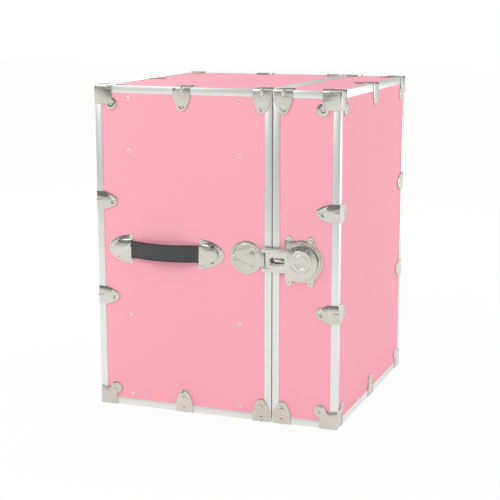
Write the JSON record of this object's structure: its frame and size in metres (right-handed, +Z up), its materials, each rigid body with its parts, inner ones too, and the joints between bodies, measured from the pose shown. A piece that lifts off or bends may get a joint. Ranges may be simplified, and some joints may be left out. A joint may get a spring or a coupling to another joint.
{
  "type": "locker cabinet",
  "caption": "Upright trunk-built locker cabinet with laminate panels, metal edge angles, corner caps, strap handles, a hinged door, a swinging hasp and inner shelves.",
  "frame": {"origin": "middle of the footprint, on the floor", "axes": "+X the way the door's face looks, +Y towards the hinge side, +Z up"},
  "size_m": [0.632, 0.6516, 0.812],
  "materials": {
    "laminate": "satin pink laminate",
    "lining": "plain pale lining",
    "plywood": "raw plywood",
    "shelf_board": "clear lacquered plywood",
    "aluminium": "mill aluminium",
    "standard_metal": "zinc plated",
    "nickel": "bright nickel plated steel",
    "leather": "dark strap leather"
  },
  "bodies": {
    "cabinet": {"body_back_panel": "plywood", "body_near_panel": "plywood", "body_far_panel": "plywood", "body_top_panel": "plywood", "body_bottom_panel": "plywood", "body_skins": "laminate", "body_linings": "lining", "body_edge_trims": "aluminium", "body_rim": "aluminium", "body_corner_caps": "nickel", "body_edge_clamps": "nickel", "body_trim_rivets": "nickel", "near_back_standard": "standard_metal", "near_front_standard": "standard_metal", "far_back_standard": "standard_metal", "far_front_standard": "standard_metal", "standard_rivets": "nickel", "shelf_clips": "nickel", "lower_shelf": "shelf_board", "upper_shelf": "shelf_board", "near_handle_strap": "leather", "near_handle_back_cap": "nickel", "near_handle_front_cap": "nickel", "near_handle_rivets": "nickel", "far_handle_strap": "leather", "far_handle_back_cap": "nickel", "far_handle_front_cap": "nickel", "far_handle_rivets": "nickel", "hasp_hinge_plate": "nickel", "hasp_plate_rivets": "nickel", "hasp_pin": "nickel", "upper_hinge_body_leaf": "nickel", "middle_hinge_body_leaf": "nickel", "lower_hinge_body_leaf": "nickel", "upper_hinge_pin": "nickel", "middle_hinge_pin": "nickel", "lower_hinge_pin": "nickel", "hinge_body_rivets": "nickel"},
    "door": {"door_face_panel": "plywood", "door_near_panel": "plywood", "door_far_panel": "plywood", "door_top_panel": "plywood", "door_bottom_panel": "plywood", "door_skins": "laminate", "door_linings": "lining", "door_edge_trims": "aluminium", "door_rim": "aluminium", "door_corner_caps": "nickel", "door_edge_clamps": "nickel", "door_trim_rivets": "nickel", "upper_hinge_door_leaf": "nickel", "middle_hinge_door_leaf": "nickel", "lower_hinge_door_leaf": "nickel", "hinge_door_rivets": "nickel", "lock_base_plate": "nickel", "padlock_staple": "nickel", "lock_plate_rivets": "nickel"},
    "hasp": {"hasp": "nickel"}
  },
  "joints": [
    {"name": "door_swing", "type": "hinge", "parent": "cabinet", "child": "door", "pos_m": [0.148, 0.3057, 0.408], "axis": [0, 0, 1], "range_deg": [0, 165]},
    {"name": "hasp_swing", "type": "hinge", "parent": "cabinet", "child": "hasp", "pos_m": [0.128, -0.3088, 0.408], "axis": [0, 0, -1], "range_deg": [0, 150]}
  ]
}
